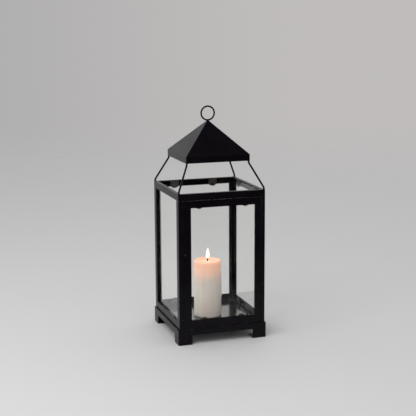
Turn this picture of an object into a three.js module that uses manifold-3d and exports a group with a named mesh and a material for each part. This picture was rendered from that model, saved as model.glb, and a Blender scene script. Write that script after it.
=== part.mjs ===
// Candle lantern: a square glazed body of folded sheet angles on a footed base, with a
// hinged glass door, a turn latch, a pyramid roof on four bent rods, a fixed ring on top
// and a pillar candle inside.
// Millimetres, +Z up, the door faces -Y, the origin is under the middle of the base.

import * as THREE from 'three';
import { mergeVertices } from 'three/addons/utils/BufferGeometryUtils.js';
import Module from 'manifold-3d';

const wasm = await Module();
wasm.setup();

// ---------------------------------------------------------------- driving dimensions

// Clearances
const GAP = 0.3; // between pieces that lie against each other
const PIN_GAP = 0.3; // radial, round a pin, stem or spindle in its hole

// Base: one folded sheet with four corner feet, and a glossy plate on top of it
const BASE_HEIGHT = 41.5;
const BASE_OVERHANG = 3.5;
const BASE_SHEET = 1.5;
const BASE_CORNER = 3;
const FOOT_WIDTH = 38.5;
const FOOT_HEIGHT = 25;
const FLOOR_INSET = 13;
const FLOOR_SHEET = 1.2;

// Body frame
const BODY_WIDTH = 240;
const BODY_HEIGHT = 364.5;
const SHEET = 1.2;
const POST_LEG = 19;
const FRONT_LEG = 10;
const LIP_DEPTH = 5;
const STOP_WIDTH = 2.6;
const STOP_GAP = 0.4;
const TOP_RAIL_FACE = 18;
const BOTTOM_RAIL_FACE = 18.7;
const RAIL_FLANGE = 10;

// Glass and the clips that hold it
const GLASS_THICKNESS = 3;
const GLASS_TOP_ROOM = 4;
const CLIP_WIDTH = 24;
const CLIP_SHEET = 0.8;
const CLIP_REACH = 4.2;
const CLIP_FOOT = 5.6;
const CLIP_SHOULDER = 12;
const DIMPLE_RADIUS = 2.6;
const DIMPLE_HEIGHT = 1;
const CLIP_PLACES = { right: [-67, 67], back: [-49.5, 63], left: [-57, 57] };

// Door, hung on two hidden pins at its right
const DOOR_GAP_SIDE = 1;
const DOOR_GAP_TOP = 1;
const DOOR_GAP_BOTTOM = 1.5;
const DOOR_DEPTH = 9.5;
const STILE_LATCH = 23.7;
const STILE_HINGE = 17.1;
const DOOR_RAIL_TOP = 19.3;
const DOOR_RAIL_BOTTOM = 22.5;
const RIM_WIDTH = 4.8;
const RIM_RAISE = 1.2;
const RIM_FROM_HINGE_EDGE = 12;
const DOOR_GLASS_LAP = 6;
const DOOR_CLIPS_TOP = 64;
const DOOR_CLIPS_BOTTOM = 52;
const PIN_RADIUS = 1.5;
const PIN_LENGTH = 14;
const PIN_FROM_EDGE = 8;
const PIN_IN_FRAME = 5;

// Turn latch on the door
const LATCH_HEIGHT = 203.5;
const LATCH_FROM_EDGE = 5.5;
const LATCH_TILT = THREE.MathUtils.degToRad(32.3);
const LEVER_SHEET = 1.2;
const LEVER_HUB = 3.4;
const LEVER_NOSE = 2;
const LEVER_LENGTH = 17.6;
const TAB_WIDTH = 2.8;
const TAB_HEIGHT = 1.6;
const TONGUE_SHEET = 1.2;
const TONGUE_HUB = 2.6;
const TONGUE_NOSE = 1.2;
const TONGUE_LENGTH = 5.3;
const TONGUE_SETBACK = 0.6;
const SPINDLE_RADIUS = 1.5;
const SPINDLE_HEAD = 2.4;
const SPINDLE_HEAD_HEIGHT = 0.9;

// Roof and the four rods under it
const ROOF_LIFT = 74.3;
const ROOF_WIDTH = 176.5;
const ROOF_SHEET = 1.2;
const FASCIA_HEIGHT = 17.2;
const ROOF_RISE = 86.5;
const ROOF_TIP_WIDTH = 7.2;
const ROD_RADIUS = 2.5;
const ROD_BEND = 3;
const ROD_STUB = 1.5;

// Ring with its collar, stem and nut
const RING_OUTER = 41.3;
const RING_WIRE = 4.4;
const RING_SINK = 2.65;
const COLLAR_RADIUS = 4.5;
const COLLAR_HEIGHT = 3.6;
const STEM_RADIUS = 2.5;
const STEM_LENGTH = 9;
const NUT_RADIUS = 4.6;
const NUT_HEIGHT = 4;

// Candle
const CANDLE_RADIUS = 38;
const CANDLE_HEIGHT = 155;
const CANDLE_X = -5;
const CANDLE_Y = -6;
const RIM_ROUND = 3;
const POOL_RADIUS = 33;
const POOL_DEPTH = 4;
const WICK_RADIUS = 1.3;
const WICK_HEIGHT = 10;
const WICK_LEAN = 2;

// ---------------------------------------------------------------- places worked out

const HALF = BODY_WIDTH / 2;
const BODY_TOP = BASE_HEIGHT + BODY_HEIGHT;
const BASE_HALF = HALF + BASE_OVERHANG;
const FRAME_BOTTOM = BASE_HEIGHT + GAP;
const FLANGE_TOP = FRAME_BOTTOM + SHEET;
const TOP_RAIL_BOTTOM = BODY_TOP - TOP_RAIL_FACE;
const BOTTOM_RAIL_TOP = FRAME_BOTTOM + BOTTOM_RAIL_FACE;
const JAMB_DEPTH = DOOR_DEPTH + STOP_GAP + SHEET;

const GLASS_OUTER = -HALF + LIP_DEPTH + GAP;
const GLASS_INNER = GLASS_OUTER + GLASS_THICKNESS;
const CLIP_FRONT = GLASS_INNER + GAP;
const GLASS_BOTTOM = FLANGE_TOP + CLIP_SHEET + 2 * GAP;
const GLASS_TOP = BODY_TOP - GLASS_TOP_ROOM;
const GLASS_HALF = HALF - Math.max(JAMB_DEPTH, HALF + GLASS_INNER) - GAP;

const DOOR_HALF = HALF - FRONT_LEG - DOOR_GAP_SIDE;
const DOOR_BOTTOM = BASE_HEIGHT + DOOR_GAP_BOTTOM;
const DOOR_TOP = TOP_RAIL_BOTTOM - DOOR_GAP_TOP;
const DOOR_FACE = -HALF + RIM_RAISE;
const DOOR_BACK = -HALF + DOOR_DEPTH;
const WINDOW = {
  left: -DOOR_HALF + STILE_LATCH,
  right: DOOR_HALF - STILE_HINGE,
  bottom: DOOR_BOTTOM + DOOR_RAIL_BOTTOM,
  top: DOOR_TOP - DOOR_RAIL_TOP,
};
const WINDOW_MIDDLE = (WINDOW.left + WINDOW.right) / 2;
const PIN_X = DOOR_HALF - PIN_FROM_EDGE;
const PIN_Y = DOOR_FACE + SHEET + PIN_GAP + PIN_RADIUS;
const LATCH_X = -DOOR_HALF + LATCH_FROM_EDGE;
const LATCH_Z = BASE_HEIGHT + LATCH_HEIGHT;

const EAVE_BOTTOM = BODY_TOP + ROOF_LIFT;
const EAVE_TOP = EAVE_BOTTOM + FASCIA_HEIGHT;
const APEX = EAVE_TOP + ROOF_RISE;
const ROOF_HALF = ROOF_WIDTH / 2;
const ROOF_SLOPE = ROOF_RISE / ROOF_HALF;
const INNER_APEX = APEX - ROOF_SHEET * Math.hypot(1, ROOF_SLOPE);
const ROOF_TIP = APEX - (ROOF_TIP_WIDTH / 2) * ROOF_SLOPE;
const RING_CENTRE = APEX - RING_SINK + RING_OUTER / 2;

const CANDLE_BOTTOM = BASE_HEIGHT + GAP + FLOOR_SHEET + GAP;

// ---------------------------------------------------------------- materials

const finish = (color, roughness, metalness, extra = {}) =>
  new THREE.MeshStandardMaterial({ color, roughness, metalness, ...extra });

const BLACK_COAT = finish(0x101012, 0.42, 0.3);
const GLOSS_COAT = finish(0x0b0b0d, 0.12, 0.3);
const DARK_STEEL = finish(0x3a3633, 0.4, 0.8);
const GLASS = finish(0xe9f2ee, 0.04, 0, { transparent: true, opacity: 0.22 });
const WAX = finish(0xefe6d6, 0.5, 0);
const CHARRED = finish(0x1c1714, 0.9, 0);

// ---------------------------------------------------------------- solids

// A closed three.js geometry as a solid that can be joined and cut.
function solidOf(geometry) {
  const bare = geometry.clone();
  bare.deleteAttribute('normal');
  bare.deleteAttribute('uv');
  const merged = mergeVertices(bare, 1e-4);
  const corners = merged.index.array;
  const triangles = [];
  for (let i = 0; i < corners.length; i += 3) {
    const [a, b, c] = [corners[i], corners[i + 1], corners[i + 2]];
    if (a !== b && b !== c && c !== a) {
      triangles.push(a, b, c);
    }
  }
  return new wasm.Manifold(new wasm.Mesh({
    numProp: 3,
    vertProperties: new Float32Array(merged.attributes.position.array),
    triVerts: new Uint32Array(triangles),
  }));
}

function geometryOf(solid) {
  const mesh = solid.getMesh();
  const geometry = new THREE.BufferGeometry();
  geometry.setAttribute('position', new THREE.BufferAttribute(mesh.vertProperties, 3));
  geometry.setIndex(new THREE.BufferAttribute(mesh.triVerts, 1));
  geometry.computeVertexNormals();
  return geometry;
}

const join = (first, ...others) =>
  geometryOf(others.reduce((whole, next) => whole.add(solidOf(next)), solidOf(first)));

const cut = (first, ...others) =>
  geometryOf(others.reduce((whole, next) => whole.subtract(solidOf(next)), solidOf(first)));

const keepInside = (first, other) => geometryOf(solidOf(first).intersect(solidOf(other)));

// A box between two values along each axis.
function box([x0, x1], [y0, y1], [z0, z1]) {
  const geometry = new THREE.BoxGeometry(x1 - x0, y1 - y0, z1 - z0);
  return geometry.translate((x0 + x1) / 2, (y0 + y1) / 2, (z0 + z1) / 2);
}

const outline = (points) => new THREE.Shape(points.map(([u, v]) => new THREE.Vector2(u, v)));

const rectangle = (u0, u1, v0, v1) => outline([[u0, v0], [u1, v0], [u1, v1], [u0, v1]]);

// A square with round corners, centred on the axis.
function roundedSquare(half, radius) {
  const flat = half - radius;
  const shape = new THREE.Shape();
  [[1, -1], [1, 1], [-1, 1], [-1, -1]].forEach(([x, y], corner) => {
    const start = (corner - 1) * (Math.PI / 2);
    shape.absarc(x * flat, y * flat, radius, start, start + Math.PI / 2, false);
  });
  return shape;
}

function ringOf(outer, inner) {
  outer.holes.push(inner);
  return outer;
}

// A shape drawn in x and y, as thick as z0 to z1.
function upright(shape, z0, z1, curveSegments = 12) {
  const geometry = new THREE.ExtrudeGeometry(shape, {
    depth: z1 - z0, bevelEnabled: false, curveSegments,
  });
  return geometry.translate(0, 0, z0);
}

// A shape drawn in x and z, as deep as y0 to y1.
function facing(shape, y0, y1, curveSegments = 12) {
  const geometry = new THREE.ExtrudeGeometry(shape, {
    depth: y1 - y0, bevelEnabled: false, curveSegments,
  });
  return geometry.rotateX(Math.PI / 2).translate(0, y1, 0);
}

// A shape drawn in y and z, as long as x0 to x1.
function along(shape, x0, x1) {
  const geometry = new THREE.ExtrudeGeometry(shape, { depth: x1 - x0, bevelEnabled: false });
  return geometry.rotateY(Math.PI / 2).rotateX(Math.PI / 2).translate(x0, 0, 0);
}

function uprightRod(radius, x, y, z0, z1, sides = 20) {
  const geometry = new THREE.CylinderGeometry(radius, radius, z1 - z0, sides);
  return geometry.rotateX(Math.PI / 2).translate(x, y, (z0 + z1) / 2);
}

function facingRod(radius, y0, y1, sides = 20) {
  const geometry = new THREE.CylinderGeometry(radius, radius, y1 - y0, sides);
  return geometry.translate(0, (y0 + y1) / 2, 0);
}

// A profile of [radius, height] turned round the Z axis.
function turned(profile, segments, start = 0) {
  const points = profile.map(([r, z]) => new THREE.Vector2(r, z));
  return new THREE.LatheGeometry(points, segments, start).rotateX(Math.PI / 2);
}

function sweep(path, radius, sides, steps) {
  const section = new THREE.Shape();
  for (let i = 0; i < sides; i += 1) {
    const angle = (2 * Math.PI * i) / sides;
    section.lineTo(radius * Math.cos(angle), radius * Math.sin(angle));
  }
  return new THREE.ExtrudeGeometry(section, { extrudePath: path, steps, bevelEnabled: false });
}

// ---------------------------------------------------------------- the scene

const lantern = new THREE.Group();

function add(parent, name, geometry, material) {
  const mesh = new THREE.Mesh(geometry, material);
  mesh.name = name;
  parent.add(mesh);
  return mesh;
}

// Each side of the body is drawn as the front one and turned round the Z axis.
const SIDES = { front: 0, right: Math.PI / 2, back: Math.PI, left: -Math.PI / 2 };

function sideGroup(side) {
  const group = new THREE.Group();
  group.rotation.z = SIDES[side];
  lantern.add(group);
  return group;
}

const sides = Object.fromEntries(Object.keys(SIDES).map((side) => [side, sideGroup(side)]));

// ---------------------------------------------------------------- base

function makeBase() {
  const wall = BASE_HALF - BASE_SHEET;
  const footEdge = BASE_HALF - FOOT_WIDTH;
  const past = BASE_HALF + 1;
  let pan = cut(
    upright(roundedSquare(BASE_HALF, BASE_CORNER), 0, BASE_HEIGHT, 5),
    upright(roundedSquare(wall, BASE_CORNER - BASE_SHEET), BASE_SHEET, BASE_HEIGHT - BASE_SHEET, 5),
    box([-footEdge, footEdge], [-past, past], [-1, FOOT_HEIGHT]),
    box([-past, past], [-footEdge, footEdge], [-1, FOOT_HEIGHT]),
  );
  pan = cut(pan, uprightRod(PIN_RADIUS + PIN_GAP, PIN_X, PIN_Y, FOOT_HEIGHT, BASE_HEIGHT + 1));
  add(lantern, 'base', pan, BLACK_COAT);

  const floor = HALF - FLOOR_INSET;
  const plate = box([-floor, floor], [-floor, floor],
    [BASE_HEIGHT + GAP, BASE_HEIGHT + GAP + FLOOR_SHEET]);
  add(lantern, 'floor_plate', plate, GLOSS_COAT);
}

// ---------------------------------------------------------------- body frame

// An angle in the corner at (signX, signY): legX lies on the front or back face, legY on
// the left or right face. Both edges turn in as lips. A stop turns on from the jamb.
function makePost(name, signX, signY, legX, jamb, stop) {
  const legY = POST_LEG;
  const jambEnd = stop > 0
    ? [[legX, jamb - SHEET], [legX + stop, jamb - SHEET], [legX + stop, jamb], [legX - SHEET, jamb]]
    : [[legX, jamb], [legX - SHEET, jamb]];
  const section = [
    [0, 0], [legX, 0], ...jambEnd, [legX - SHEET, SHEET], [SHEET, SHEET],
    [SHEET, legY - SHEET], [LIP_DEPTH, legY - SHEET], [LIP_DEPTH, legY], [0, legY],
  ];
  const shape = outline(section.map(([u, v]) => [signX * (HALF - u), signY * (HALF - v)]));
  add(lantern, name, upright(shape, FRAME_BOTTOM, TOP_RAIL_BOTTOM - GAP), BLACK_COAT);
}

function makePosts() {
  makePost('post_front_left', -1, -1, FRONT_LEG, JAMB_DEPTH, STOP_WIDTH);
  makePost('post_front_right', 1, -1, FRONT_LEG, LIP_DEPTH, 0);
  makePost('post_back_left', -1, 1, POST_LEG, LIP_DEPTH, 0);
  makePost('post_back_right', 1, 1, POST_LEG, LIP_DEPTH, 0);
}

// A channel: the face, a flange RAIL_FLANGE deep at one edge and a lip at the other.
function railSection(lipZ, flangeZ, lip) {
  const up = Math.sign(flangeZ - lipZ);
  const y = (depth) => -HALF + depth;
  return outline([
    [y(0), lipZ], [y(lip), lipZ], [y(lip), lipZ + up * SHEET], [y(SHEET), lipZ + up * SHEET],
    [y(SHEET), flangeZ - up * SHEET], [y(RAIL_FLANGE), flangeZ - up * SHEET],
    [y(RAIL_FLANGE), flangeZ], [y(0), flangeZ],
  ]);
}

// The four top rails meet in mitres.
function makeTopRail(side) {
  const end = HALF - GAP / Math.SQRT2;
  const depth = RAIL_FLANGE + 1;
  const mitre = upright(
    outline([[-end, -HALF], [end, -HALF], [end - depth, -HALF + depth], [-end + depth, -HALF + depth]]),
    TOP_RAIL_BOTTOM - 1, BODY_TOP + 1,
  );
  const lip = side === 'front' ? RAIL_FLANGE : LIP_DEPTH;
  const bar = along(railSection(TOP_RAIL_BOTTOM, BODY_TOP, lip), -HALF, HALF);
  let rail = keepInside(bar, mitre);
  if (side === 'front') {
    rail = cut(rail, uprightRod(PIN_RADIUS + PIN_GAP, PIN_X, PIN_Y,
      TOP_RAIL_BOTTOM - 1, TOP_RAIL_BOTTOM + SHEET + 1));
  }
  add(sides[side], `top_rail_${side}`, rail, BLACK_COAT);
}

// The door stands where a front bottom rail would be.
function makeBottomRail(side) {
  const end = HALF - POST_LEG - GAP;
  const bar = along(railSection(BOTTOM_RAIL_TOP, FRAME_BOTTOM, LIP_DEPTH), -end, end);
  add(sides[side], `bottom_rail_${side}`, bar, BLACK_COAT);
}

// ---------------------------------------------------------------- glass and clips

function makePane(side) {
  const pane = box([-GLASS_HALF, GLASS_HALF], [GLASS_OUTER, GLASS_INNER], [GLASS_BOTTOM, GLASS_TOP]);
  add(sides[side], `glass_${side}`, pane, GLASS);
}

// A bent clip: its foot lies on a flange at footZ, over or under the edge of the glass, and
// its leg lies on the glass up to tipZ, ending in a shield with a pressed dimple.
function clipGeometry(footZ, tipZ) {
  const towards = Math.sign(tipZ - footZ);
  const half = CLIP_WIDTH / 2;
  const shoulder = footZ + towards * CLIP_SHOULDER;
  const leg = new THREE.Shape();
  leg.moveTo(-half, footZ);
  leg.lineTo(half, footZ);
  leg.lineTo(half, shoulder);
  leg.bezierCurveTo(half, tipZ - towards * 2, half / 3, tipZ, 0, tipZ);
  leg.bezierCurveTo(-half / 3, tipZ, -half, tipZ - towards * 2, -half, shoulder);
  const back = CLIP_FRONT + CLIP_SHEET;
  const footEnds = [footZ, footZ + towards * CLIP_SHEET].sort((a, b) => a - b);
  const foot = box([-half, half], [back - CLIP_FOOT, back], footEnds);
  const dome = turned([
    [0, -CLIP_SHEET / 2], [DIMPLE_RADIUS, -CLIP_SHEET / 2],
    [DIMPLE_RADIUS * 0.8, DIMPLE_HEIGHT * 0.7], [0, DIMPLE_HEIGHT],
  ], 16).rotateX(-Math.PI / 2);
  dome.translate(0, back, shoulder);
  return join(facing(leg, CLIP_FRONT, back, 6), foot, dome);
}

function makeClips(side) {
  CLIP_PLACES[side].forEach((x, i) => {
    const top = clipGeometry(BODY_TOP - SHEET - GAP, TOP_RAIL_BOTTOM - CLIP_REACH);
    const bottom = clipGeometry(FLANGE_TOP + GAP, BOTTOM_RAIL_TOP + CLIP_REACH);
    add(sides[side], `clip_${side}_top_${i + 1}`, top, DARK_STEEL).position.x = x;
    add(sides[side], `clip_${side}_bottom_${i + 1}`, bottom, DARK_STEEL).position.x = x;
  });
}

// ---------------------------------------------------------------- door

function makeDoorFrame() {
  const leaf = (inset) =>
    rectangle(-DOOR_HALF + inset, DOOR_HALF - inset, DOOR_BOTTOM + inset, DOOR_TOP - inset);
  const window = (grow) =>
    rectangle(WINDOW.left - grow, WINDOW.right + grow, WINDOW.bottom - grow, WINDOW.top + grow);
  const face = facing(ringOf(leaf(0), window(0)), DOOR_FACE, DOOR_FACE + SHEET);
  const edge = facing(ringOf(leaf(0), leaf(SHEET)), DOOR_FACE, DOOR_BACK);
  const lip = facing(ringOf(window(SHEET), window(0)), DOOR_FACE, -HALF + LIP_DEPTH);
  const innerLeft = -DOOR_HALF + RIM_WIDTH;
  const rimEnd = DOOR_HALF - RIM_FROM_HINGE_EDGE;
  const innerBottom = DOOR_BOTTOM + RIM_WIDTH;
  const innerTop = DOOR_TOP - RIM_WIDTH;
  const rim = facing(outline([
    [-DOOR_HALF, DOOR_BOTTOM], [rimEnd, DOOR_BOTTOM], [rimEnd, innerBottom],
    [innerLeft, innerBottom], [innerLeft, innerTop], [rimEnd, innerTop],
    [rimEnd, DOOR_TOP], [-DOOR_HALF, DOOR_TOP],
  ]), -HALF, DOOR_FACE + SHEET / 2);
  const pinHole = PIN_RADIUS + PIN_GAP;
  const spindleHole = facingRod(SPINDLE_RADIUS + PIN_GAP, -HALF - 1, DOOR_FACE + SHEET + 1);
  return cut(
    join(face, edge, lip, rim),
    uprightRod(pinHole, PIN_X, PIN_Y, DOOR_BOTTOM - 1, DOOR_BOTTOM + SHEET + 1),
    uprightRod(pinHole, PIN_X, PIN_Y, DOOR_TOP - SHEET - 1, DOOR_TOP + 1),
    spindleHole.translate(LATCH_X, 0, LATCH_Z),
  );
}

function makeDoor() {
  add(lantern, 'door_frame', makeDoorFrame(), BLACK_COAT);
  const pane = box(
    [WINDOW.left - DOOR_GLASS_LAP, WINDOW.right + DOOR_GLASS_LAP],
    [GLASS_OUTER, GLASS_INNER],
    [WINDOW.bottom - DOOR_GLASS_LAP, WINDOW.top + DOOR_GLASS_LAP],
  );
  add(lantern, 'door_glass', pane, GLASS);
  [-1, 1].forEach((sign, i) => {
    const top = clipGeometry(DOOR_TOP - SHEET - GAP, WINDOW.top - CLIP_REACH);
    const bottom = clipGeometry(DOOR_BOTTOM + SHEET + GAP, WINDOW.bottom + CLIP_REACH);
    add(lantern, `clip_door_top_${i + 1}`, top, DARK_STEEL)
      .position.x = WINDOW_MIDDLE + sign * DOOR_CLIPS_TOP;
    add(lantern, `clip_door_bottom_${i + 1}`, bottom, DARK_STEEL)
      .position.x = WINDOW_MIDDLE + sign * DOOR_CLIPS_BOTTOM;
  });
  const low = BASE_HEIGHT - PIN_IN_FRAME;
  const high = TOP_RAIL_BOTTOM + PIN_IN_FRAME;
  add(lantern, 'hinge_pin_bottom', uprightRod(PIN_RADIUS, PIN_X, PIN_Y, low, low + PIN_LENGTH),
    DARK_STEEL);
  add(lantern, 'hinge_pin_top', uprightRod(PIN_RADIUS, PIN_X, PIN_Y, high - PIN_LENGTH, high),
    DARK_STEEL);
}

// ---------------------------------------------------------------- latch

// A flat drop shape: a hub round the origin and a nose along +Z, with a spindle hole.
function dropShape(hub, nose, length) {
  const reach = length - nose;
  const lean = Math.acos((hub - nose) / reach);
  const up = Math.PI / 2;
  const shape = new THREE.Shape();
  shape.absarc(0, 0, hub, up + lean, up - lean + 2 * Math.PI, false);
  shape.absarc(0, reach, nose, up - lean, up + lean, false);
  return shape;
}

function dropPlate(hub, nose, length, y0, y1) {
  const hole = facingRod(SPINDLE_RADIUS + PIN_GAP, y0 - 1, y1 + 1);
  return cut(facing(dropShape(hub, nose, length), y0, y1, 10), hole);
}

function makeLatch() {
  const latch = new THREE.Group();
  latch.position.set(LATCH_X, 0, LATCH_Z);
  latch.rotation.y = -LATCH_TILT;
  lantern.add(latch);

  const leverBack = -HALF - GAP;
  const leverFront = leverBack - LEVER_SHEET;
  const tabZ = LEVER_LENGTH - LEVER_NOSE;
  const tab = box([-TAB_WIDTH / 2, TAB_WIDTH / 2], [leverFront - TAB_HEIGHT, leverBack - LEVER_SHEET / 2],
    [tabZ - SHEET / 2, tabZ + SHEET / 2]);
  const lever = join(dropPlate(LEVER_HUB, LEVER_NOSE, LEVER_LENGTH, leverFront, leverBack), tab);
  add(latch, 'latch_lever', lever, BLACK_COAT);

  const tongueFront = -HALF + JAMB_DEPTH + TONGUE_SETBACK;
  const tongueBack = tongueFront + TONGUE_SHEET;
  add(latch, 'latch_tongue',
    dropPlate(TONGUE_HUB, TONGUE_NOSE, TONGUE_LENGTH, tongueFront, tongueBack), DARK_STEEL);

  const headBack = leverFront - GAP;
  const tailFront = tongueBack + GAP;
  const spindle = join(
    facingRod(SPINDLE_RADIUS, headBack - SPINDLE_HEAD_HEIGHT / 2, tailFront + SPINDLE_HEAD_HEIGHT / 2),
    facingRod(SPINDLE_HEAD, headBack - SPINDLE_HEAD_HEIGHT, headBack),
    facingRod(SPINDLE_HEAD, tailFront, tailFront + SPINDLE_HEAD_HEIGHT),
  );
  add(latch, 'latch_spindle', spindle, DARK_STEEL);
}

// ---------------------------------------------------------------- roof, rods and ring

function makeRoof() {
  const inner = ROOF_HALF - ROOF_SHEET;
  const tipHalf = ROOF_TIP_WIDTH / 2;
  const innerTip = ROOF_TIP - ROOF_SHEET;
  const innerTipHalf = (INNER_APEX - innerTip) / ROOF_SLOPE;
  const halves = [
    [0, innerTip], [innerTipHalf, innerTip], [inner, INNER_APEX - inner * ROOF_SLOPE],
    [inner, EAVE_BOTTOM], [ROOF_HALF, EAVE_BOTTOM], [ROOF_HALF, EAVE_TOP],
    [tipHalf, ROOF_TIP], [0, ROOF_TIP],
  ];
  const shell = turned(halves.map(([half, z]) => [half * Math.SQRT2, z]), 4, Math.PI / 4);
  const stemHole = uprightRod(STEM_RADIUS + PIN_GAP, 0, 0, innerTip - 1, ROOF_TIP + 1);
  add(lantern, 'roof', cut(shell, stemHole), BLACK_COAT);
}

// From the top of the body's corner, in towards the axis, and up to the edge of the roof's
// corner. A rod is flush with the outside of both corners, where it is welded on.
function rodPath() {
  const at = (inward, z) => new THREE.Vector3(inward, inward, z);
  const low = HALF - ROD_RADIUS;
  const high = ROOF_HALF - ROD_RADIUS;
  const bottom = BODY_TOP + GAP;
  const top = EAVE_BOTTOM - GAP;
  const lowIn = at(low, bottom + ROD_STUB);
  const highOut = at(high, top - ROD_STUB);
  const kneeLow = at(low, lowIn.z + ROD_BEND);
  const kneeHigh = at(high, highOut.z - ROD_BEND);
  const slant = kneeHigh.clone().sub(kneeLow).normalize().multiplyScalar(ROD_BEND);
  const lowOut = kneeLow.clone().add(slant);
  const highIn = kneeHigh.clone().sub(slant);
  const path = new THREE.CurvePath();
  path.add(new THREE.LineCurve3(at(low, bottom), lowIn));
  path.add(new THREE.QuadraticBezierCurve3(lowIn, kneeLow, lowOut));
  path.add(new THREE.LineCurve3(lowOut, highIn));
  path.add(new THREE.QuadraticBezierCurve3(highIn, kneeHigh, highOut));
  path.add(new THREE.LineCurve3(highOut, at(high, top)));
  return path;
}

function makeRods() {
  const turns = { back_right: 0, back_left: 1, front_left: 2, front_right: 3 };
  for (const [corner, quarter] of Object.entries(turns)) {
    const rod = add(lantern, `rod_${corner}`, sweep(rodPath(), ROD_RADIUS, 12, 30), BLACK_COAT);
    rod.rotation.z = quarter * Math.PI / 2;
  }
}

function makeRing() {
  const wire = RING_WIRE / 2;
  const torus = new THREE.TorusGeometry(RING_OUTER / 2 - wire, wire, 12, 40);
  torus.rotateX(Math.PI / 2).translate(0, 0, RING_CENTRE);
  const collarBottom = ROOF_TIP + GAP;
  const collar = uprightRod(COLLAR_RADIUS, 0, 0, collarBottom, collarBottom + COLLAR_HEIGHT);
  const stem = uprightRod(STEM_RADIUS, 0, 0, ROOF_TIP - STEM_LENGTH, collarBottom + 1);
  add(lantern, 'hanging_ring', join(torus, collar, stem), BLACK_COAT);

  const nutTop = INNER_APEX - NUT_RADIUS * ROOF_SLOPE - GAP;
  const nut = uprightRod(NUT_RADIUS, 0, 0, nutTop - NUT_HEIGHT, nutTop, 6);
  const bore = uprightRod(STEM_RADIUS + PIN_GAP, 0, 0, nutTop - NUT_HEIGHT - 1, nutTop + 1);
  add(lantern, 'ring_nut', cut(nut, bore), DARK_STEEL);
}

// ---------------------------------------------------------------- candle

function makeCandle() {
  const candle = new THREE.Group();
  candle.position.set(CANDLE_X, CANDLE_Y, CANDLE_BOTTOM);
  lantern.add(candle);

  const pool = CANDLE_HEIGHT - POOL_DEPTH;
  const profile = [[0, 0], [CANDLE_RADIUS - 1, 0], [CANDLE_RADIUS, 1]];
  for (const angle of [0, 30, 60, 90].map(THREE.MathUtils.degToRad)) {
    profile.push([
      CANDLE_RADIUS - RIM_ROUND * (1 - Math.cos(angle)),
      CANDLE_HEIGHT - RIM_ROUND * (1 - Math.sin(angle)),
    ]);
  }
  profile.push([POOL_RADIUS, CANDLE_HEIGHT - POOL_DEPTH / 3], [POOL_RADIUS * 0.8, pool], [0, pool]);
  add(candle, 'candle', turned(profile, 40), WAX);

  const foot = pool + WICK_RADIUS / 2;
  const path = new THREE.QuadraticBezierCurve3(
    new THREE.Vector3(0, 0, foot),
    new THREE.Vector3(0, 0, foot + WICK_HEIGHT / 2),
    new THREE.Vector3(WICK_LEAN, 0, foot + WICK_HEIGHT),
  );
  add(candle, 'wick', sweep(path, WICK_RADIUS, 8, 6), CHARRED);
}

// ---------------------------------------------------------------- assembly

makeBase();
makePosts();
Object.keys(SIDES).forEach(makeTopRail);
for (const side of ['right', 'back', 'left']) {
  makeBottomRail(side);
  makePane(side);
  makeClips(side);
}
makeDoor();
makeLatch();
makeRoof();
makeRods();
makeRing();
makeCandle();

export default lantern;
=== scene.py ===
"""Looks of the candle lantern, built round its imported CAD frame.

Metres, +Z up, the door faces -Y. CAD nodes keep their place and get folded-sheet edges and
their finish. The rods, ring, candle and wick are replaced by finer pieces, and a flame is added.
"""

import math

import bmesh
import bpy
from mathutils import Matrix, Vector, noise


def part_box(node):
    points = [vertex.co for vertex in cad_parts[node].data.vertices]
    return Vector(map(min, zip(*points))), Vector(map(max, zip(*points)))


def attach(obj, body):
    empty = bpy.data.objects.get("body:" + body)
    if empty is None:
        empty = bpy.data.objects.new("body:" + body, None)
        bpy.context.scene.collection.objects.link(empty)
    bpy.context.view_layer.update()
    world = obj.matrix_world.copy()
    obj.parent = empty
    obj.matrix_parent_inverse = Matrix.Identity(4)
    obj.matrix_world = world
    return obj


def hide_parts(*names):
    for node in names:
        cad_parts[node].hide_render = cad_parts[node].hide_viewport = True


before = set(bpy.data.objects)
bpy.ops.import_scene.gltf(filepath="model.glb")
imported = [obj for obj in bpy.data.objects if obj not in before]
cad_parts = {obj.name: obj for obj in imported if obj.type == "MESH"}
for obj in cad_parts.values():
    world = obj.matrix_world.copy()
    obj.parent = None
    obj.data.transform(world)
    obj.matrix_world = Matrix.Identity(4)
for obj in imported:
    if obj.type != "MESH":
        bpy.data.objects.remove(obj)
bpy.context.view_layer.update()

MM = 0.001
TURN = 2 * math.pi

# ------------------------------------------------------------------ camera and studio

CAMERA_PLACE = Vector((-0.8256, -2.5517, 0.8515))
CAMERA_AZIMUTH = math.radians(-17.919)
CAMERA_ELEVATION = math.radians(10.752)
CAMERA_ROLL = math.radians(-0.298)
CAMERA_LENS = 86.36
SENSOR_WIDTH = 36

# The floor fades out between the two distances from the middle in FLOOR_FADE. For rays mirrored
# once it also fades out in front, between those in DARK_FRONT, to show the dark side of the room.
FLOOR_COLOR = (0.615, 0.615, 0.62, 1)
FLOOR_PALER = (0.6273, 0.6273, 0.6324, 1)
FLOOR_ROUGHNESS = (0.62, 0.70)
FLOOR_SPECULAR = 0.25
FLOOR_RADIUS = 16
FLOOR_SIDES = 96
FLOOR_FADE = (0.6, 6)
DARK_FRONT = (0.45, 0.80)

# The background turns from one colour to the other as a ray's X goes through SKY_TURN.
SKY_LEFT = (0.435, 0.430, 0.430, 1)
SKY_RIGHT = (0.522, 0.502, 0.499, 1)
SKY_TURN = (0.05, 0.42)

# How bright the room is away from its light side and towards it, for matt surfaces (FILL) and
# for mirrored rays (GLOSS_ROOM). A turn gives the cosines between which the change is made.
ROOM_LIGHT_SIDE = Vector((-0.50, 0.80, 0.25)).normalized()
FILL = (0.68, 0.86)
FILL_TURN = (-0.6, 0.6)
GLOSS_ROOM = (0.012, 0.72)
GLOSS_TURN = (-0.35, 0.45)

# A mirrored ray's light drops from the third number to the fourth as its Z goes from the first
# to the second.
GLOSS_OVERHEAD = (0.40, 0.80, 1.0, 0.20)

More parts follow.
